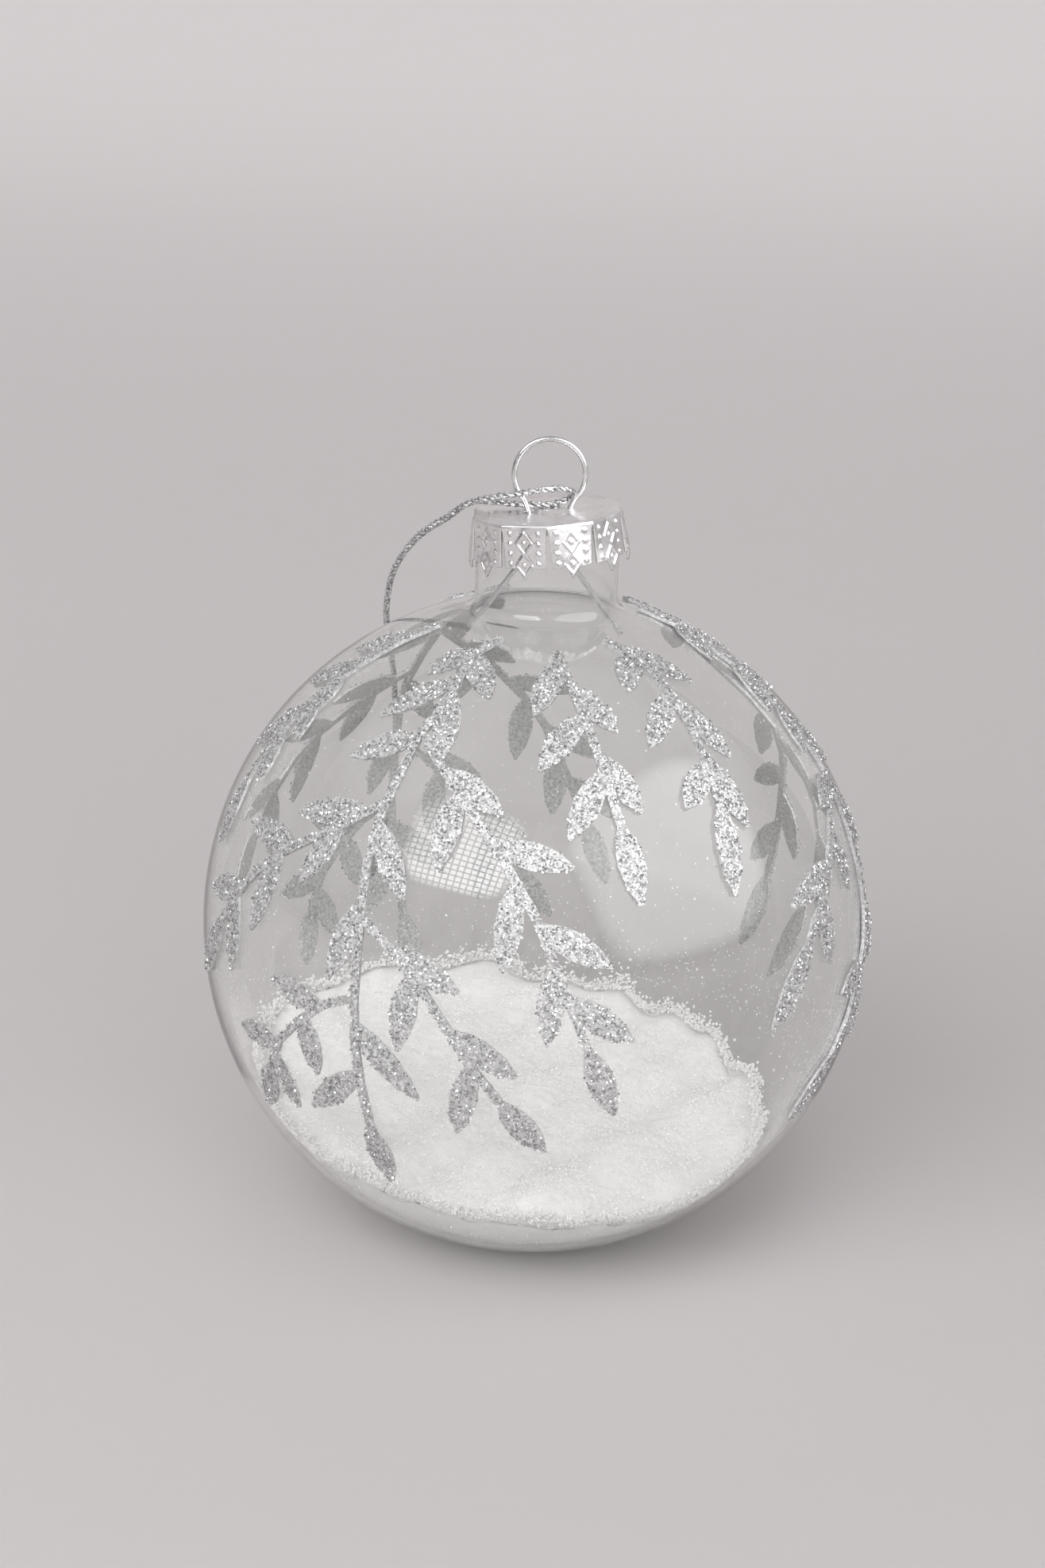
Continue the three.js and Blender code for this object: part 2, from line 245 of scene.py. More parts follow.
def arc(centre, radius, start, end, steps):
    found = []
    for i in range(steps + 1):
        turn = start + (end - start) * i / steps
        found.append((centre[0] + radius * math.cos(turn), centre[1] + radius * math.sin(turn)))
    return found


def chips(places, thickness=0.12, sides=4):
    """Flat faceted chips: each place is (point, normal, spin, length, width)."""
    verts, faces = [], []
    for point, normal, spin, length, width in places:
        side = Matrix.Rotation(spin, 3, normal) @ normal.orthogonal().normalized()
        across = normal.cross(side)
        start = len(verts)
        half = normal * (0.5 * thickness * width)
        for lift in (-half, half):
            for k in range(sides):
                turn = 2 * math.pi * k / sides
                rim = 0.5 * (length * math.cos(turn) * side + width * math.sin(turn) * across)
                verts.append(point + rim + lift)
        faces.append(tuple(start + k for k in range(sides))[::-1])
        faces.append(tuple(start + sides + k for k in range(sides)))
        for k in range(sides):
            a, b = start + k, start + (k + 1) % sides
            faces.append((a, b, b + sides, a + sides))
    return verts, faces


def tone_faces(obj, tones, faces_each):
    """A grey value per chip in the attribute 'tone', the same on all of that chip's faces."""
    attribute = obj.data.attributes.new("tone", "FLOAT", "FACE")
    attribute.data.foreach_set("value", [tone for tone in tones for _ in range(faces_each)])


# ---------------------------------------------------------------- materials
class Nodes:
    """Short calls for building one node material."""

    def __init__(self, name):
        self.material = bpy.data.materials.new(name)
        self.material.use_nodes = True
        self.tree = self.material.node_tree
        self.shader = self.tree.nodes["Principled BSDF"]
        self.output = self.tree.nodes["Material Output"]

    def add(self, kind, **values):
        node = self.tree.nodes.new(kind)
        for key, value in values.items():
            if hasattr(node, key):
                setattr(node, key, value)
            else:
                node.inputs[key.replace("_", " ").title()].default_value = value
        return node

    def link(self, source, target):
        self.tree.links.new(source, target)

    def set(self, **values):
        for key, value in values.items():
            self.shader.inputs[key.replace("_", " ")].default_value = value

    def ramp(self, source, stops):
        node = self.tree.nodes.new("ShaderNodeValToRGB")
        while len(node.color_ramp.elements) < len(stops):
            node.color_ramp.elements.new(0.5)
        for element, (place, colour) in zip(node.color_ramp.elements, stops):
            element.position = place
            element.color = (*colour, 1)
        self.link(source, node.inputs["Fac"])
        return node.outputs["Color"]

    def noise(self, scale, detail=3, roughness=0.5):
        coords = self.tree.nodes.new("ShaderNodeTexCoord")
        node = self.tree.nodes.new("ShaderNodeTexNoise")
        node.inputs["Scale"].default_value = scale
        node.inputs["Detail"].default_value = detail
        node.inputs["Roughness"].default_value = roughness
        self.link(coords.outputs["Object"], node.inputs["Vector"])
        return node.outputs["Fac"]

    def bump(self, height, strength, distance):
        node = self.tree.nodes.new("ShaderNodeBump")
        node.inputs["Strength"].default_value = strength
        node.inputs["Distance"].default_value = distance
        self.link(height, node.inputs["Height"])
        self.link(node.outputs["Normal"], self.shader.inputs["Normal"])


def grey(value):
    return (value, value, value)


def glass_material():
    """Clear glass, faintly green, that lets shadow rays through almost undimmed."""
    m = Nodes("clear_glass")
    m.set(Base_Color=(0.994, 0.999, 0.995, 1), Roughness=0.0, IOR=1.5, Transmission_Weight=1.0)
    clear = m.add("ShaderNodeBsdfTransparent")
    clear.inputs["Color"].default_value = (0.965, 0.965, 0.965, 1)
    path = m.add("ShaderNodeLightPath")
    mix = m.add("ShaderNodeMixShader")
    m.link(path.outputs["Is Shadow Ray"], mix.inputs["Fac"])
    m.link(m.shader.outputs["BSDF"], mix.inputs[1])
    m.link(clear.outputs["BSDF"], mix.inputs[2])
    m.link(mix.outputs["Shader"], m.output.inputs["Surface"])
    return m.material


def snow_material():
    m = Nodes("snow_flakes")
    m.set(Roughness=0.85, Subsurface_Weight=0.7, Subsurface_Scale=0.003, Subsurface_Radius=(1, 1, 1))
    m.link(m.ramp(m.noise(900, 4), [(0.3, (0.90, 0.885, 0.875)), (0.65, (0.97, 0.955, 0.945))]),
           m.shader.inputs["Base Color"])
    m.bump(m.noise(1600, 4, 0.65), 0.7, 0.0004)
    return m.material


def flake_material():
    m = Nodes("snow_flake_chips")
    m.set(Roughness=0.7, Subsurface_Weight=0.4, Subsurface_Scale=0.001, Subsurface_Radius=(1, 1, 1))
    tone = m.add("ShaderNodeAttribute", attribute_name="tone")
    m.link(m.ramp(tone.outputs["Fac"], [(0.0, (0.92, 0.905, 0.9)), (1.0, (0.98, 0.965, 0.955))]),
           m.shader.inputs["Base Color"])
    m.bump(m.noise(2500, 2), 0.4, 0.0002)
    return m.material


def glue_material():
    """The grey glue under the glitter, which is what shows through the glass from behind."""
    m = Nodes("glitter_glue")
    m.set(Roughness=0.6, Metallic=0.1)
    m.link(m.ramp(m.noise(2600, 2, 0.6), [(0.35, (0.34, 0.337, 0.334)), (0.65, (0.6, 0.597, 0.594))]),
           m.shader.inputs["Base Color"])
    m.bump(m.noise(3000, 2), 0.8, 0.0002)
    return m.material


def glitter_base_material():
    """The silvery glue between the grains, on the outside of a spray."""
    m = Nodes("glitter_base")
    m.set(Roughness=0.5, Metallic=0.4)
    m.link(m.ramp(m.noise(2600, 2, 0.6), [(0.35, grey(0.42)), (0.65, grey(0.72))]),
           m.shader.inputs["Base Color"])
    m.bump(m.noise(3000, 2), 0.8, 0.0002)
    return m.material


def glitter_material():
    m = Nodes("silver_glitter")
    m.set(Metallic=0.7, Roughness=0.24)
    tone = m.add("ShaderNodeAttribute", attribute_name="tone")
    m.link(m.ramp(tone.outputs["Fac"], [(0.0, grey(0.26)), (0.4, grey(0.57)), (1.0, grey(0.9))]),
           m.shader.inputs["Base Color"])
    return m.material


def cap_material():
    m = Nodes("cap_metal")
    m.set(Metallic=1.0)
    m.link(m.ramp(m.noise(220, 3), [(0.3, (0.78, 0.768, 0.77)), (0.7, (0.93, 0.92, 0.922))]),
           m.shader.inputs["Base Color"])
    m.link(m.ramp(m.noise(500, 4, 0.6), [(0.35, grey(0.24)), (0.7, grey(0.38))]),
           m.shader.inputs["Roughness"])
    m.bump(m.noise(420, 4), 0.35, 0.0003)
    return m.material


def cap_inside_material():
    """The unpolished side of the pressed sheet."""
    m = Nodes("cap_inside")
    m.set(Metallic=0.35)
    m.link(m.ramp(m.noise(400, 3), [(0.3, grey(0.78)), (0.7, grey(0.9))]), m.shader.inputs["Base Color"])
    m.link(m.ramp(m.noise(700, 3), [(0.3, grey(0.4)), (0.7, grey(0.6))]), m.shader.inputs["Roughness"])
    return m.material


def wire_material():
    m = Nodes("wire_metal")
    m.set(Metallic=1.0)
    m.link(m.ramp(m.noise(500, 3), [(0.3, grey(0.68)), (0.7, grey(0.84))]), m.shader.inputs["Base Color"])
    m.link(m.ramp(m.noise(1500, 3), [(0.3, grey(0.2)), (0.7, grey(0.32))]), m.shader.inputs["Roughness"])
    return m.material


def thread_material():
    """Foil-wrapped thread: grey yarn with bright flecks."""
    m = Nodes("silver_thread")
    m.set(Metallic=0.85)
    m.link(m.ramp(m.noise(3200, 2, 0.7), [(0.38, grey(0.2)), (0.5, grey(0.55)), (0.62, grey(0.95))]),
           m.shader.inputs["Base Color"])
    m.link(m.ramp(m.noise(2200, 2), [(0.3, grey(0.2)), (0.7, grey(0.45))]), m.shader.inputs["Roughness"])
    m.bump(m.noise(4200, 2), 0.8, 0.00015)
    return m.material


GLASS = glass_material()
SNOW = snow_material()
FLAKE = flake_material()
GLUE = glue_material()
GLITTER_BASE = glitter_base_material()
GLITTER = glitter_material()
CAP_METAL = cap_material()
CAP_INSIDE = cap_inside_material()
WIRE_METAL = wire_material()
THREAD = thread_material()


def finish_piece(obj, material, body, slot_name, *nodes):
    """Material, body and the CAD nodes that the piece stands for. The slot name is not used."""
    obj.data.materials.clear()
    obj.data.materials.append(material)
    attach(obj, body)
    if nodes:
        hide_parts(*nodes)
    return obj


# ---------------------------------------------------------------- glass ball
def glass_profile():
    """Half section: outside from the foot to the rim, then inside back to the foot."""
    fillet_x = NECK_R + FILLET_R
    fillet_z = math.sqrt((BALL_R + FILLET_R) ** 2 - fillet_x**2)
    shoulder = math.atan2(fillet_z, fillet_x)
    inner_r = BALL_R - WALL
    foot = math.asin(CENTRE.z / BALL_R)
    inner_foot = math.asin((CENTRE.z - WALL) / inner_r)
    centre = (0, CENTRE.z)
    fillet = (fillet_x, fillet_z + CENTRE.z)
    rim = (NECK_R - NECK_WALL / 2, RIM_Z - NECK_WALL / 2)
    low, high = fillet[1] + 0.06 * MM, rim[1] - 0.04 * MM
    straight = [low + (high - low) * i / 12 for i in range(13)]
    inner_ball = []
    for r, z in arc((0, 0), 1, shoulder, -inner_foot, 110):
        share = min(1.0, max(0.0, (0.85 - z) / 1.25))
        reach = BALL_R - NECK_WALL - (WALL - NECK_WALL) * share
        inner_ball.append((reach * r, CENTRE.z + reach * z))
    return [
        (0, 0),
        (0.5 * FOOT_R, 0),
        *arc(centre, BALL_R, -foot, shoulder, 110),
        *arc(fillet, FILLET_R, shoulder + math.pi, math.pi, 24)[1:],
        *[(NECK_R, z) for z in straight],
        *arc(rim, NECK_WALL / 2, 0, math.pi, 12),
        *[(NECK_R - NECK_WALL, z) for z in straight[::-1]],
        *arc(fillet, FILLET_R + NECK_WALL, math.pi, shoulder + math.pi, 24),
        *inner_ball[1:],
        (0.5 * FOOT_R, WALL),
        (0, WALL),
    ]


def add_glass():
    glass = mesh_object("blown_glass", *revolve(glass_profile(), 192))
    fix_normals(glass)
    finish_piece(glass, GLASS, "glass", "clear_glass", "glass_ball")


add_glass()

# ---------------------------------------------------------------- snow
SNOW_R = BALL_R - WALL - 0.06 * MM
SNOW_EDGE_DROP = 1.4


def snow_height(x, y):
    """Height of the heap above the ball's centre, in millimetres from x and y in millimetres."""
    return (
        -23
        - 0.11 * x
        + 0.08 * y
        + 0.7 * math.sin(0.31 * x + 0.8) * math.cos(0.27 * y)
        + 0.4 * math.sin(0.62 * x - 0.47 * y + 1.9)
    )


def edge_drop(turn):
    """How far the heap's edge is rounded down in that direction: most at the front, not at all behind."""
    return SNOW_EDGE_DROP * max(0.0, -math.sin(turn))


def snow_rim(turn):
    """Where the heap's rounded edge meets the glass in that direction, in millimetres from the axis."""
    rim = 30.0
    limit = SNOW_R / MM
    for _ in range(40):
        height = snow_height(rim * math.cos(turn), rim * math.sin(turn)) - edge_drop(turn)
        rim = math.sqrt(limit**2 - height**2)
    return rim


def add_snow():
    segments, top_rings, side_rings = 220, 70, 46
    limit = SNOW_R / MM
    floor = (WALL - CENTRE.z) / MM + 0.06
    rims = [snow_rim(2 * math.pi * k / segments) for k in range(segments)]
    verts = [CENTRE + MM * Vector((0, 0, snow_height(0, 0)))]
    for ring in range(1, top_rings + side_rings):
        for k, rim in enumerate(rims):
            turn = 2 * math.pi * k / segments
            if ring <= top_rings:
                r = rim * ring / top_rings
                x, y = r * math.cos(turn), r * math.sin(turn)
                z = snow_height(x, y) - edge_drop(turn) * (ring / top_rings) ** 14
                z += 0.3 * noise.noise(Vector((x, y, 3)) * 0.45) + 0.2 * noise.noise(Vector((x, y, 9)) * 1.4)
            else:
                r = rim * math.cos(0.5 * math.pi * (ring - top_rings) / side_rings)
                x, y = r * math.cos(turn), r * math.sin(turn)
                z = -math.sqrt(limit**2 - r**2)
                dent = 0.25 + 0.2 * noise.noise(Vector((x, y, z)) * 0.9)
                inward = Vector((x, y, z)).normalized() * dent
                x, y, z = x - inward.x, y - inward.y, max(z - inward.z, floor)
            verts.append(CENTRE + MM * Vector((x, y, z)))
    verts.append(CENTRE + MM * Vector((0, 0, floor)))
    faces = []
    rows = top_rings + side_rings - 1
    for k in range(segments):
        ahead = (k + 1) % segments
        faces.append((0, 1 + k, 1 + ahead))
        for i in range(rows - 1):
            a, b = 1 + i * segments + k, 1 + i * segments + ahead
            faces.append((a, a + segments, b + segments, b))
        last = 1 + (rows - 1) * segments
        faces.append((last + k, len(verts) - 1, last + ahead))
    snow = mesh_object("snow_heap", verts, faces)
    fix_normals(snow)
    finish_piece(snow, SNOW, "glass", "snow_flakes", "snow_fill")


def add_snow_flakes():
    """Loose flakes on the heap and a ragged edge of them up the glass."""
    rng = random.Random(4)
    places, tones = [], []

    def put(point, normal, length, width):
        lean = Vector((rng.gauss(0, 0.5), rng.gauss(0, 0.5), rng.gauss(0, 0.5)))
        places.append((CENTRE + MM * point, (normal + lean).normalized(), rng.uniform(0, 6.3), length, width))
        tones.append(rng.random())

    for _ in range(5200):
        turn, share = rng.uniform(0, 2 * math.pi), math.sqrt(rng.random())
        r = 0.93 * snow_rim(turn) * share
        x, y = r * math.cos(turn), r * math.sin(turn)
        lift = 0.02 + 0.12 * rng.random()
        put(Vector((x, y, snow_height(x, y) + lift)), Vector((0, 0, 1)),
            rng.uniform(0.2, 0.34) * MM, rng.uniform(0.16, 0.28) * MM)
    for _ in range(6600):
        turn = rng.uniform(0, 2 * math.pi)
        rim = snow_rim(turn)
        x, y = rim * math.cos(turn), rim * math.sin(turn)
        ragged = 1.3 + 1.2 * noise.noise(Vector((7 * math.cos(turn), 7 * math.sin(turn), 2)))
        climb = abs(rng.gauss(0, 0.75)) * max(ragged, 0.3)
        out = Vector((x, y, snow_height(x, y) - edge_drop(turn) + climb)).normalized()
        depth = SNOW_R / MM - 0.25 - abs(rng.gauss(0, 0.5))
        put(out * depth, out, rng.uniform(0.22, 0.5) * MM, rng.uniform(0.18, 0.35) * MM)
    flakes = mesh_object("snow_loose_flakes", *chips(places, 0.7, 5), smooth=False)
    tone_faces(flakes, tones, 7)
    finish_piece(flakes, FLAKE, "glass", "snow_flakes")


def add_packed_flakes():
    """Flakes pressed against the glass all over the side of the heap."""
    rng = random.Random(6)
    places, tones = [], []
    low, high = -SNOW_R / MM + 0.6, -15
    while len(places) < 2500:
        turn, height = rng.uniform(0, 2 * math.pi), rng.uniform(low, high)
        r = math.sqrt((SNOW_R / MM) ** 2 - height**2)
        x, y = r * math.cos(turn), r * math.sin(turn)
        if height > snow_height(x, y):
            continue
        out = Vector((x, y, height)).normalized()
        depth = SNOW_R / MM - rng.uniform(0.15, 0.32)
        normal = out + Vector((rng.gauss(0, 0.5), rng.gauss(0, 0.5), rng.gauss(0, 0.5)))
        point = CENTRE + MM * out * depth
        point.z = max(point.z, WALL + 0.2 * MM)
        places.append((point, normal.normalized(), rng.uniform(0, 6.3),
                       rng.uniform(0.18, 0.34) * MM, rng.uniform(0.14, 0.26) * MM))
        tones.append(rng.random())
    packed = mesh_object("snow_packed_flakes", *chips(places, 0.7, 5), smooth=False)
    tone_faces(packed, tones, 7)
    finish_piece(packed, FLAKE, "glass", "snow_flakes")


def add_dust():
    """Fine specks that cling inside the glass, thicker towards the heap."""
    rng = random.Random(11)
    places, tones = [], []
    for _ in range(3200):
        height = rng.choice((rng.uniform(-20, 34), -20 + rng.expovariate(0.22)))
        turn = rng.uniform(0, 2 * math.pi)
        limit = SNOW_R / MM - 0.12
        r = math.sqrt(limit**2 - height**2)
        point = Vector((r * math.cos(turn), r * math.sin(turn), height))
        if height < snow_height(point.x, point.y):
            continue
        size = rng.uniform(0.07, 0.17) * MM
        places.append((CENTRE + MM * point, point.normalized(), rng.uniform(0, 6.3),
                       size * rng.uniform(1, 2.2), size))
        tones.append(rng.random())
    dust = mesh_object("snow_dust", *chips(places, 0.4, 5), smooth=False)
    tone_faces(dust, tones, 7)
    finish_piece(dust, FLAKE, "glass", "snow_flakes")


add_snow()
add_snow_flakes()
add_packed_flakes()
add_dust()

# ---------------------------------------------------------------- glitter
SPRAYS = sorted(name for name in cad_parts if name.startswith("glitter_spray"))
GRAINS_PER_MM2 = 19.5


def outer_triangles(obj):
    """(corners, area in mm2) of the spray's faces that look away from the ball's centre."""
    mesh = obj.data
    mesh.calc_loop_triangles()
    found = []
    for triangle in mesh.loop_triangles:
        corners = [mesh.vertices[i].co.copy() for i in triangle.vertices]
        middle = sum(corners, Vector()) / 3 - CENTRE
        if triangle.normal.dot(middle.normalized()) > 0.7:
            found.append((corners, triangle.area / MM**2))
    return found


def add_glitter(node_name, seed):
    """Grains glued on a spray's outer face, tilted at random so that some flash and some go dark."""
    rng = random.Random(seed)
    places, tones = [], []
    for (a, b, c), area in outer_triangles(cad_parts[node_name]):
        count = int(area * GRAINS_PER_MM2 + rng.random())
        for _ in range(count):
            u, v = rng.random(), rng.random()
            if u + v > 1:
                u, v = 1 - u, 1 - v
            point = a + u * (b - a) + v * (c - a)
            point += Vector((rng.gauss(0, 0.07), rng.gauss(0, 0.07), rng.gauss(0, 0.07))) * MM
            out = (point - CENTRE).normalized()
            point += out * rng.uniform(0, 0.1) * MM
            normal = out + Vector((rng.gauss(0, 0.42), rng.gauss(0, 0.42), rng.gauss(0, 0.42)))
            size = rng.uniform(0.22, 0.36) * MM
            places.append((point, normal.normalized(), rng.uniform(0, 6.3), size, size * rng.uniform(0.7, 1)))
            tones.append(rng.random())
    grains = mesh_object(node_name.replace("spray", "grains"), *chips(places, 0.15), smooth=False)
    tone_faces(grains, tones, 6)
    finish_piece(grains, GLITTER, "glass", "silver_glitter")


for index, spray in enumerate(SPRAYS):
    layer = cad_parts[spray].data
    layer.materials.clear()
    layer.materials.append(GLUE)
    layer.materials.append(GLITTER_BASE)
    for face in layer.polygons:
        face.material_index = int(face.normal.dot((face.center - CENTRE).normalized()) > -0.3)
    add_glitter(spray, index)

# ---------------------------------------------------------------- cap
FLAPS = 10
SHEET = 0.28 * MM
FLAP_POINT = 1.5
CAP_TILT = math.radians(5)
CAP_SHIFT = Vector((-0.2, 0, 0.3)) * MM
HOLE_X, HOLE_Y, HOLE_R = 2.3 * MM, 0.47 * MM, 0.6 * MM


def bell(distance):
    """A smooth bump that is 1 in the middle and 0 from 1 outwards."""
    return (1 - distance**2) ** 2 if distance < 1 else 0.0


def emboss(across, down):
    """Height of the pressed pattern in millimetres, at places in millimetres on a flap."""
    height = 0.0
    for row in range(4):
        for side in (-1, 1):
            height = max(height, 0.2 * bell(math.hypot(across - 1.72 * side, down - 0.9 - 1.15 * row) / 0.38))
    for row in range(2):
        middle = 2.0 + 2.55 * row
        edge = abs(across) / 0.92 + abs(down - middle) / 1.2
        height = max(height, 0.16 * bell(abs(edge - 1) / 0.3))
        height = max(height, 0.16 * bell(math.hypot(across, down - middle) / 0.42))
    return height


def in_wire_hole(face):
    """Whether a face of the cap's top lies in one of the two holes for the wire."""
    middle = face.calc_center_median()
    return face.normal.z > 0.7 and any(
        math.hypot(middle.x - side * HOLE_X, middle.y - side * HOLE_Y) < HOLE_R for side in (-1, 1))


def add_cap():
    """A pressed sheet: a flat many-sided top folded down into flaps parted by slits."""
    rng = random.Random(2)
    top = CAP_HIGH.z / MM
    radius = CAP_HIGH.x / MM + 0.15
    half = math.pi / FLAPS
    apothem = radius * math.cos(half)
    drop = top - CAP_LOW.z / MM - FLAP_POINT
    columns, rows, rings = 44, 52, 22
    verts, faces = [], []
    for flap in range(FLAPS):
        middle = 2 * half * flap
        lean = rng.uniform(0.0, 0.4)
        gaps = rng.uniform(0.03, 0.16), rng.uniform(0.03, 0.16)
        start = len(verts)
        for ring in range(rings + 1):
            for column in range(columns + 1):
                u = 2 * column / columns - 1
                turn = half * u
                edge = (apothem - 0.12) / math.cos(turn)
                r = edge * (0.02 + 0.98 * ring / rings)
                at = middle + turn
                x, y = r * math.cos(at), r * math.sin(at)
                dent = 0.1 * noise.noise(Vector((x, y, 0)) * 0.35)
                dent += 0.05 * noise.noise(Vector((x, y, 5)) * 0.9)
                step = -0.12 * bell(abs(r / apothem - 0.86) / 0.07)
                verts.append(Vector((x, y, top - 0.06 + (dent + step) * min(1, (edge - r) / 0.8))) * MM)
        for row in range(1, rows + 1):
            for column in range(columns + 1):
                u = 2 * column / columns - 1
                point_drop = (FLAP_POINT - 0.06) * max(0.0, 1 - abs(u) * 2.6)
                down = (drop + point_drop) * row / rows
                fold = min(1, down / 0.18)
                open_slit = min(1, max(0, down - 0.3) / 0.4)
                turn = half * u * (1 - (0.04 + gaps[u > 0] * down / drop) * open_slit)
                flat = apothem / math.cos(turn)
                round_share = min(1, down / drop)
                r = flat * (1 - round_share) + (radius - 0.08) * round_share
                r += lean * round_share - 0.12 * (1 - fold)
                r += emboss(r * turn, down) - 0.12
                at = middle + turn
                verts.append(Vector((r * math.cos(at), r * math.sin(at), top - 0.06 - down)) * MM)
        width = columns + 1
        for line in range(rings + rows):
            for column in range(columns):
                a = start + line * width + column
                faces.append((a, a + width, a + width + 1, a + 1))
    cap = mesh_object("pressed_cap", verts, faces)
    work = bmesh.new()
    work.from_mesh(cap.data)
    bmesh.ops.remove_doubles(work, verts=work.verts, dist=0.02 * MM)
    bmesh.ops.recalc_face_normals(work, faces=work.faces)
    top_face = max(work.faces, key=lambda face: face.calc_center_median().z)
    if top_face.normal.z < 0:
        bmesh.ops.reverse_faces(work, faces=work.faces)
    bmesh.ops.delete(work, geom=[face for face in work.faces if in_wire_hole(face)], context="FACES")
    pivot = Vector((0, 0, CAP_HIGH.z))
    bmesh.ops.rotate(work, verts=work.verts, cent=pivot, matrix=Matrix.Rotation(-CAP_TILT, 3, "Y"))
    bmesh.ops.translate(work, verts=work.verts, vec=CAP_SHIFT)
    work.to_mesh(cap.data)
    work.free()
    cap.data.polygons.foreach_set("use_smooth", [True] * len(cap.data.polygons))
    sheet = cap.modifiers.new("sheet", "SOLIDIFY")
    sheet.thickness = SHEET
    sheet.offset = -1
    sheet.material_offset = 1
    finish_piece(cap, CAP_METAL, "cap", "cap_metal", "cap")
    cap.data.materials.append(CAP_INSIDE)


add_cap()

# ---------------------------------------------------------------- hanger wire
# In millimetres: where the two wires cross under the cap's top, and the ring above it.
HINGE_X = 0.7
HINGE_DROP = 1.35
WIRE_OFFSET = 0.47
RING_R = 4.15
RING_RISE = 4.5
RING_SPREAD = math.radians(46)


def add_hanger():
    """The ring with its pinched ends, and the two legs that cross below the cap's top."""
    cap_top = CAP_HIGH.z / MM
    hinge_z = cap_top - HINGE_DROP
    ring_z = cap_top + RING_RISE
    circle = []
    for i in range(49):
        share = i / 48
        turn = -RING_SPREAD + (math.pi + 2 * RING_SPREAD) * share
        x, z = RING_R * math.cos(turn), RING_R * math.sin(turn)
        circle.append(Vector((x, WIRE_OFFSET * (1 - 2 * share), ring_z + z)))
    right, left = [[
        Vector((side * HINGE_X, side * WIRE_OFFSET, hinge_z)),
        Vector((side * (HINGE_X + 0.8), side * WIRE_OFFSET, hinge_z + 0.15)),
        Vector((side * 2.15, side * WIRE_OFFSET, cap_top - 0.4)),
        Vector((side * 2.4, side * WIRE_OFFSET, cap_top + 0.25)),
    ] for side in (1, -1)]
    points = right + circle + left[::-1]
    line = evenly(spline([MM * p for p in points], 4), 0.35 * MM)
    ring = mesh_object("hanger_wire_ring", *tube_mesh(line, WIRE_R, 18))
    fix_normals(ring)
    finish_piece(ring, WIRE_METAL, "hanger", "wire_metal", "hanger_ring")
    for side, name in ((-1, "left"), (1, "right")):
        node = f"hanger_leg_{name}"
        low, high = (Vector(corner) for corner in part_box(node))
        tip_x = low.x + 0.26 * MM if side < 0 else high.x - 0.26 * MM
        start = Vector((-side * HINGE_X, -side * WIRE_OFFSET, hinge_z)) * MM
        tip = Vector((tip_x, -side * WIRE_OFFSET * MM, low.z + 0.2 * MM))
        bend = start.lerp(tip, 0.5) + Vector((side * 0.12, 0, 0.1)) * MM
        leg_line = evenly(spline([start, bend, tip], 12), 0.4 * MM)
        leg = mesh_object(f"hanger_wire_leg_{name}", *tube_mesh(leg_line, WIRE_R, 18))
        fix_normals(leg)
        finish_piece(leg, WIRE_METAL, f"leg_{name}", "wire_metal", node)


add_hanger()

# ---------------------------------------------------------------- cord
STRANDS = 2
STRAND_LAY = 0.2 * MM
STRAND_R = 0.215 * MM
TWIST_PITCH = 1.9 * MM


def twisted(path):
    """Yarns laid round a path like rope."""
    parts = []
    frames = frames_along(path)
    travelled = [0.0]
    for a, b in zip(path, path[1:]):
        travelled.append(travelled[-1] + (b - a).length)
    for strand in range(STRANDS):
        line = []
        for (here, side, up), at in zip(frames, travelled):
            turn = 2 * math.pi * (at / TWIST_PITCH + strand / STRANDS)
            line.append(here + STRAND_LAY * (math.cos(turn) * side + math.sin(turn) * up))
        parts.append(tube_mesh(line, STRAND_R, 8))
    return joined(parts)


def add_cord():
    line = evenly(spline([MM * Vector(p) for p in CORD_POINTS], 30), 0.2 * MM)
    cord = mesh_object("silver_cord", *twisted(line))
    fix_normals(cord)
    finish_piece(cord, THREAD, "cord", "silver_thread", "cord")
    length = sum((b - a).length for a, b in zip(line, line[1:]))
    return cord, line, length


def add_knot(line):
    """An overhand knot of the two ends, with short frayed tails."""
    rng = random.Random(8)
    low, high = (Vector(corner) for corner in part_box("cord_knot"))
    middle = (low + high) / 2
    loop = []
    for i in range(97):
        t = 2 * math.pi * i / 96
        loop.append(middle + 0.44 * MM * Vector((
            math.sin(t) + 2 * math.sin(2 * t), -0.8 * math.sin(3 * t), math.cos(t) - 2 * math.cos(2 * t))))
    parts = [twisted(evenly(loop, 0.2 * MM))]
    for end in (line[0], line[-1]):
        inward = [end, end.lerp(middle, 0.5), middle]
        parts.append(twisted(evenly(spline(inward, 8), 0.2 * MM)))
    for side in (-1, 1):
        bends = (Vector((0.7 * side, 0.3, -2)), Vector((1.3 * side, 0.5, -5.2)))
        tail = [middle, *[middle + bend * MM for bend in bends]]
        path = evenly(spline(tail, 8), 0.2 * MM)
        parts.append(twisted(path))
        for _ in range(9):
            tip = path[-1] + Vector((rng.gauss(0, 0.5), rng.gauss(0, 0.4), -rng.uniform(0.8, 1.9))) * MM
            start = path[-3] + Vector((rng.gauss(0, 0.1), rng.gauss(0, 0.1), 0)) * MM
            parts.append(tube_mesh(evenly([start, tip], 0.3 * MM), 0.045 * MM, 5))
    knot = mesh_object("silver_cord_knot", *joined(parts))
    fix_normals(knot)
    return finish_piece(knot, THREAD, "cord", "silver_thread", "cord_knot")


cord, cord_line, cord_length = add_cord()
knot = add_knot(cord_line)

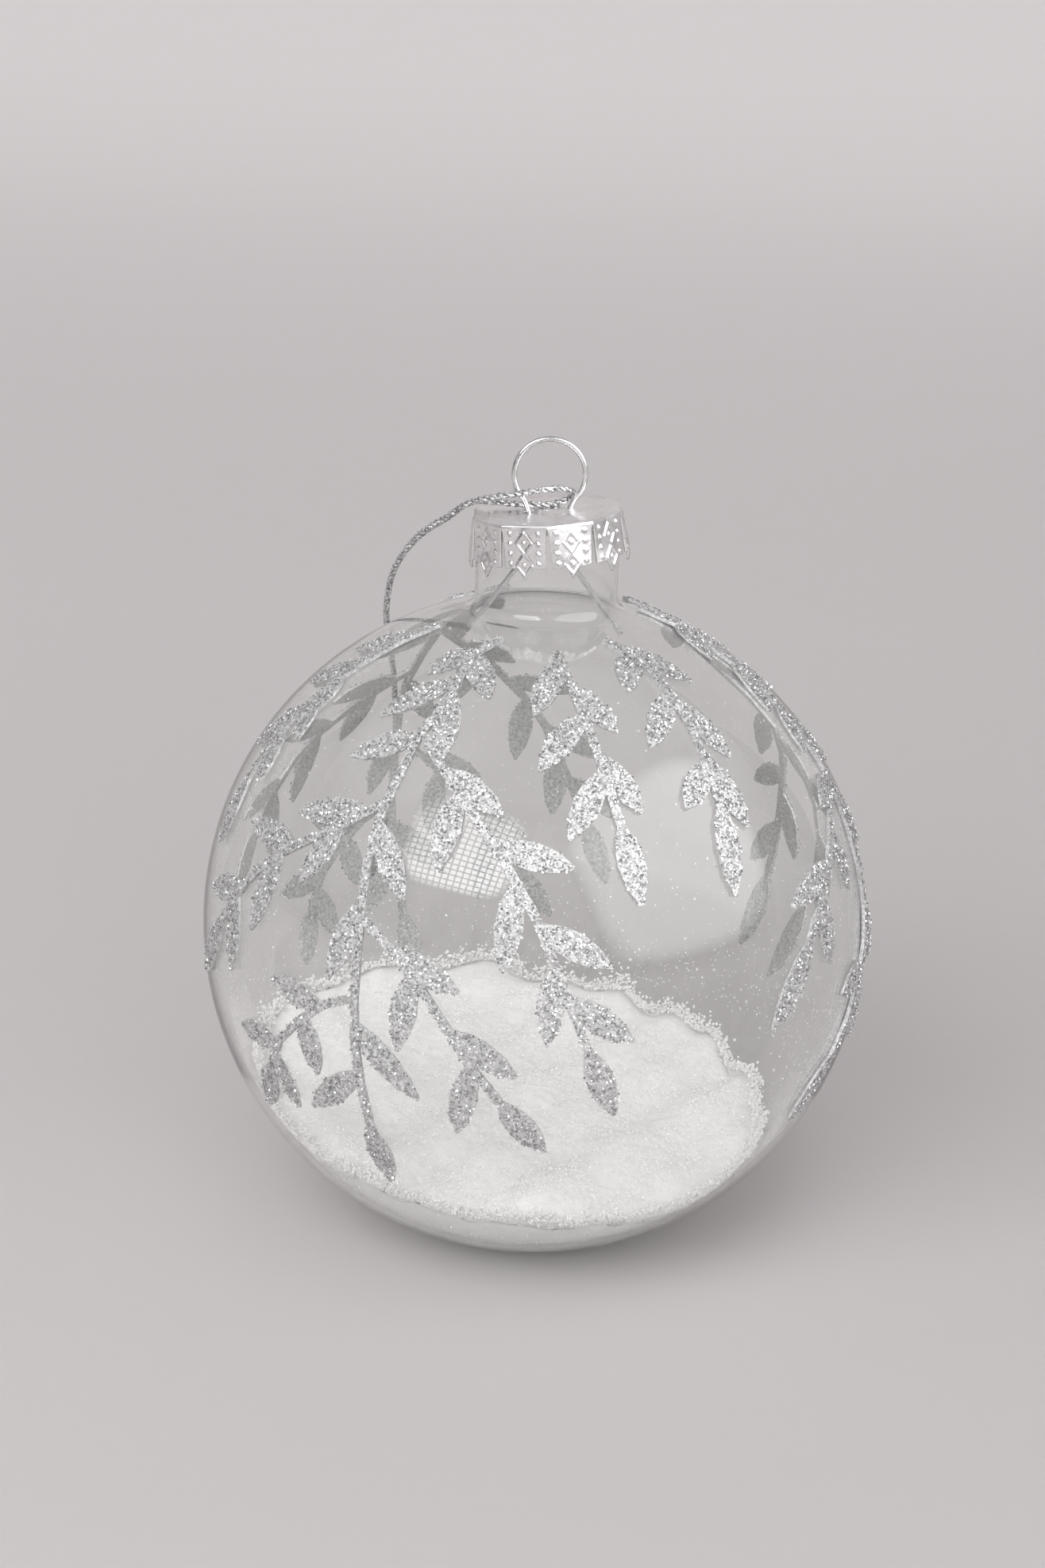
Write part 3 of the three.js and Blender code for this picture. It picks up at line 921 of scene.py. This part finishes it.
# ---------------------------------------------------------------- floor, lights and world
def add_backdrop():
    """Seamless paper: floor, a wide curve and a wall. The paper glows by itself, which is painted light:
    faint on the floor in front, dimmest around the ball as painted shade that deepens its contact shadow, and
    brighter back up the wall.
    """
    half_width, front, back, bend, height = 2.5, -2.0, 1.0, 0.7, 2.4
    profile = [(front, 0.0), (back, 0.0)]
    profile += [(back + bend * math.sin(t), bend - bend * math.cos(t)) for t in
                (0.5 * math.pi * i / 24 for i in range(1, 25))]
    profile.append((back + bend, height))
    verts = [Vector((x, y, z)) for y, z in profile for x in (-half_width, half_width)]
    faces = [(2 * i, 2 * i + 1, 2 * i + 3, 2 * i + 2) for i in range(len(profile) - 1)]
    paper = mesh_object("backdrop_paper", verts, faces)
    m = Nodes("paper")
    m.set(Base_Color=(0.56, 0.536, 0.539, 1), Roughness=0.9, Emission_Color=(0.46, 0.44, 0.442, 1))
    place = m.add("ShaderNodeSeparateXYZ")
    m.link(m.add("ShaderNodeTexCoord").outputs["Object"], place.inputs["Vector"])
    depth = m.add("ShaderNodeMapRange")
    m.link(place.outputs["Y"], depth.inputs["Value"])
    depth.inputs["From Min"].default_value = -0.1
    depth.inputs["From Max"].default_value = 1.3
    # Painted light: the paper's own glow by depth, lowest around the ball's foot (painted shade) and rising
    # to bright up the wall.
    glow = m.ramp(depth.outputs["Result"],
                  [(0.01, grey(0.05)), (0.1, grey(0.04)), (0.28, grey(0.22)), (0.95, grey(0.68))])
    m.link(glow, m.shader.inputs["Emission Strength"])
    paper.data.materials.append(m.material)


def add_card(name, azimuth, elevation, distance, size, radiance, cells=None, sees=("diffuse", "glossy")):
    """A glowing card that faces the ball: azimuth 0 is at the camera and grows to the right.

    It fades towards its rounded edge, and a honeycomb grid crosses it if cells are given.
    """
    a, e = math.radians(azimuth), math.radians(elevation)
    offset = Vector((math.sin(a) * math.cos(e), -math.cos(a) * math.cos(e), math.sin(e))) * distance
    turn = offset.to_track_quat("Z", "Y").to_matrix()
    half = Vector((size[0] / 2, size[1] / 2))
    corners = [CENTRE + offset + turn @ Vector((x * half.x, y * half.y, 0)) for x, y in
               ((-1, -1), (-1, 1), (1, 1), (1, -1))]
    card = mesh_object(name, corners, [(0, 1, 2, 3)], smooth=False)
    uv = card.data.uv_layers.new(name="card")
    for loop, place in zip(card.data.loops, ((-1, -1), (-1, 1), (1, 1), (1, -1))):
        uv.data[loop.index].uv = place
    m = Nodes(name)
    coords = m.add("ShaderNodeUVMap", uv_map="card")
    squared = m.add("ShaderNodeVectorMath", operation="MULTIPLY")
    m.link(coords.outputs["UV"], squared.inputs[0])
    m.link(coords.outputs["UV"], squared.inputs[1])
    fourth = m.add("ShaderNodeVectorMath", operation="MULTIPLY")
    m.link(squared.outputs["Vector"], fourth.inputs[0])
    m.link(squared.outputs["Vector"], fourth.inputs[1])
    spread = m.add("ShaderNodeVectorMath", operation="DOT_PRODUCT")
    m.link(fourth.outputs["Vector"], spread.inputs[0])
    spread.inputs[1].default_value = (1, 1, 1)
    glow = m.add("ShaderNodeMapRange", interpolation_type="SMOOTHSTEP")
    m.link(spread.outputs["Value"], glow.inputs["Value"])
    glow.inputs["From Min"].default_value = 0.25
    glow.inputs["From Max"].default_value = 1.0
    glow.inputs["To Min"].default_value = radiance
    glow.inputs["To Max"].default_value = 0.0
    strength = glow.outputs["Result"]
    if cells:
        grid = m.add("ShaderNodeTexVoronoi", feature="DISTANCE_TO_EDGE")
        grid.inputs["Scale"].default_value = cells
        grid.inputs["Randomness"].default_value = 0.0
        m.link(coords.outputs["UV"], grid.inputs["Vector"])
        web = m.add("ShaderNodeMapRange")
        m.link(grid.outputs["Distance"], web.inputs["Value"])
        web.inputs["From Min"].default_value = 0.02
        web.inputs["From Max"].default_value = 0.2
        web.inputs["To Min"].default_value = 0.05
        web.inputs["To Max"].default_value = 1.2
        product = m.add("ShaderNodeMath", operation="MULTIPLY")
        m.link(strength, product.inputs[0])
        m.link(web.outputs["Result"], product.inputs[1])
        corner = m.add("ShaderNodeVectorMath", operation="DOT_PRODUCT")
        m.link(coords.outputs["UV"], corner.inputs[0])
        corner.inputs[1].default_value = (0.5, -0.5, 0)
        slope = m.add("ShaderNodeMapRange")
        m.link(corner.outputs["Value"], slope.inputs["Value"])
        slope.inputs["From Min"].default_value = -0.8
        slope.inputs["From Max"].default_value = 0.5
        slope.inputs["To Min"].default_value = 0.45
        slope.inputs["To Max"].default_value = 1.3
        sloped = m.add("ShaderNodeMath", operation="MULTIPLY")
        m.link(product.outputs["Value"], sloped.inputs[0])
        m.link(slope.outputs["Result"], sloped.inputs[1])
        strength = sloped.outputs["Value"]
    emission = m.add("ShaderNodeEmission")
    m.link(strength, emission.inputs["Strength"])
    m.link(emission.outputs["Emission"], m.output.inputs["Surface"])
    card.data.materials.append(m.material)
    card.visible_camera = False
    card.visible_transmission = False
    card.visible_shadow = False
    card.visible_diffuse = "diffuse" in sees
    card.visible_glossy = "glossy" in sees


def add_world():
    """Pale cloudy surroundings that grow brighter from the horizon upwards."""
    world = bpy.data.worlds.new("studio")
    bpy.context.scene.world = world
    world.use_nodes = True
    tree = world.node_tree
    coords = tree.nodes.new("ShaderNodeTexCoord")
    noise_node = tree.nodes.new("ShaderNodeTexNoise")
    noise_node.inputs["Scale"].default_value = 1.6
    noise_node.inputs["Detail"].default_value = 1.0
    ramp = tree.nodes.new("ShaderNodeValToRGB")
    ramp.color_ramp.elements[0].position = 0.38
    ramp.color_ramp.elements[0].color = (0.42, 0.405, 0.41, 1)
    ramp.color_ramp.elements[1].position = 0.62
    ramp.color_ramp.elements[1].color = (1.0, 0.96, 0.965, 1)
    tree.links.new(coords.outputs["Generated"], noise_node.inputs["Vector"])
    tree.links.new(noise_node.outputs["Fac"], ramp.inputs["Fac"])
    tree.links.new(ramp.outputs["Color"], tree.nodes["Background"].inputs["Color"])
    height = tree.nodes.new("ShaderNodeSeparateXYZ")
    tree.links.new(coords.outputs["Generated"], height.inputs["Vector"])
    rise = tree.nodes.new("ShaderNodeMapRange")
    rise.inputs["From Min"].default_value = 0.0
    rise.inputs["From Max"].default_value = 0.6
    rise.inputs["To Min"].default_value = 0.36
    rise.inputs["To Max"].default_value = 0.7
    tree.links.new(height.outputs["Z"], rise.inputs["Value"])
    tree.links.new(rise.outputs["Result"], tree.nodes["Background"].inputs["Strength"])


add_backdrop()
add_card("softbox_left", -32, 40, 1.0, (0.74, 0.56), 8.2, cells=9)
add_card("panel_right", 57, 31, 1.2, (1.7, 1.35), 3.8, sees=("glossy",))
add_card("ceiling", 10, 85, 1.8, (2.4, 2.4), 0.35)
add_card("fill_front", -14, 30, 0.95, (1.9, 0.5), 3.8, sees=("diffuse",))
add_world()
bpy.context.scene.view_settings.view_transform = "Standard"
